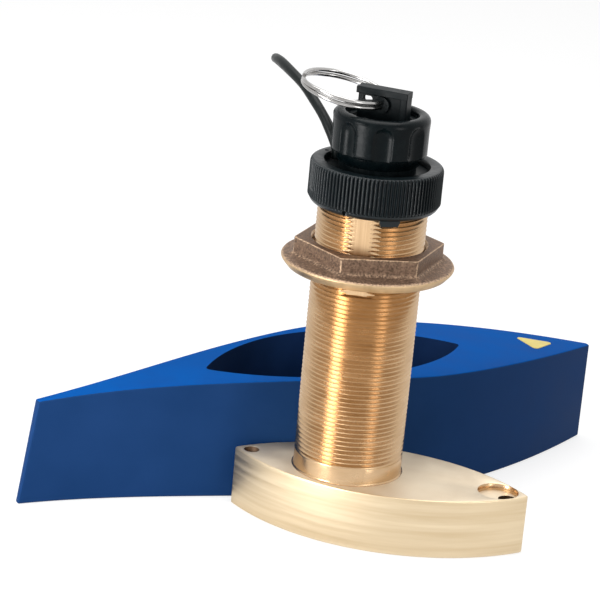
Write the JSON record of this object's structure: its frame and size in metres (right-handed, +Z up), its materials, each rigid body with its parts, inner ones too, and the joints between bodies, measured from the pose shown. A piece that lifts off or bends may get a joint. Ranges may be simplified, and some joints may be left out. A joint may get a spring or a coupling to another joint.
{
  "type": "sonar transducer",
  "caption": "Bronze through-hull sonar transducer: pointed-oval foot on a threaded stem with hull nut, ring nut, capped paddlewheel insert and cable, with its blue fairing behind.",
  "frame": {"origin": "middle of the fairing's length, on the ground under it, which is the bottom centre of the whole part without its cord", "axes": "+Z up along the stem, away from the water; +X along the foot towards its long end, where the sounding element is; +Y from the foot towards the fairing"},
  "size_m": [0.2367, 0.2961, 0.2136],
  "materials": {
    "bronze": "machined and lightly polished cast bronze, satin",
    "sand_cast_bronze": "rough sand-cast bronze with worn bright edges",
    "black_plastic": "moulded, satin",
    "gloss_black_plastic": "moulded, glossy",
    "grey_plastic": "moulded",
    "black_rubber": "smooth",
    "cable_jacket": "smooth extruded jacket",
    "stainless_steel": "bright drawn wire",
    "ceramic": "fired, matt",
    "cork": "pressed cork",
    "urethane": "cast resin",
    "nickel_plate": "nickel-plated",
    "fairing_blue": "machined polymer, satin",
    "arrow_yellow": "inlaid polymer"
  },
  "bodies": {
    "transducer": {"housing": "bronze", "acoustic_window": "urethane", "piezo_disc": "ceramic", "element_backing": "cork", "element_potting": "urethane", "element_lead": "cable_jacket", "speed_sensor": "nickel_plate", "speed_sensor_plug": "urethane", "temperature_sensor": "nickel_plate", "temperature_sensor_plug": "urethane", "valve_sleeve": "black_plastic", "valve_flap": "grey_plastic", "valve_pin": "stainless_steel", "valve_spring": "stainless_steel", "cable_gland": "black_rubber", "cable": "cable_jacket", "cable_coil": "cable_jacket", "cable_tail": "cable_jacket", "cable_plug": "black_plastic", "plug_collar": "black_plastic", "fairing": "fairing_blue", "fairing_arrow": "arrow_yellow"},
    "insert": {"paddlewheel_insert": "black_plastic", "o_ring_lower": "black_rubber", "o_ring_upper": "black_rubber", "paddle_axle": "stainless_steel"},
    "paddlewheel": {"paddlewheel": "black_plastic", "paddle_magnet_1": "nickel_plate", "paddle_magnet_2": "nickel_plate", "paddle_magnet_3": "nickel_plate", "paddle_magnet_4": "nickel_plate"},
    "cap_nut": {"cap_nut": "gloss_black_plastic"},
    "split_ring": {"split_ring": "stainless_steel"},
    "ring_nut": {"ring_nut": "black_plastic"},
    "hull_nut": {"hull_nut": "sand_cast_bronze"}
  },
  "joints": [
    {"name": "insert_lift", "type": "slide", "parent": "transducer", "child": "insert", "axis": [0, 0, 1], "range_m": [0, 0.15]},
    {"name": "paddlewheel_spin", "type": "hinge", "parent": "insert", "child": "paddlewheel", "pos_m": [0.02869, -0.06137, 0.0128], "axis": [0, 1, 0], "continuous": true},
    {"name": "cap_nut_turn", "type": "hinge", "parent": "insert", "child": "cap_nut", "pos_m": [0.02869, -0.06137, 0.19], "axis": [0, 0, 1], "continuous": true},
    {"name": "split_ring_swing", "type": "hinge", "parent": "insert", "child": "split_ring", "pos_m": [0.02869, -0.06137, 0.2042], "axis": [0.1392, 0.9903, 0], "range_deg": [0, 150]},
    {"name": "ring_nut_turn", "type": "hinge", "parent": "transducer", "child": "ring_nut", "pos_m": [0.02869, -0.06137, 0.167], "axis": [0, 0, 1], "continuous": true},
    {"name": "hull_nut_slide", "type": "slide", "parent": "transducer", "child": "hull_nut", "axis": [0, 0, 1], "range_m": [-0.066, 0.014]}
  ]
}
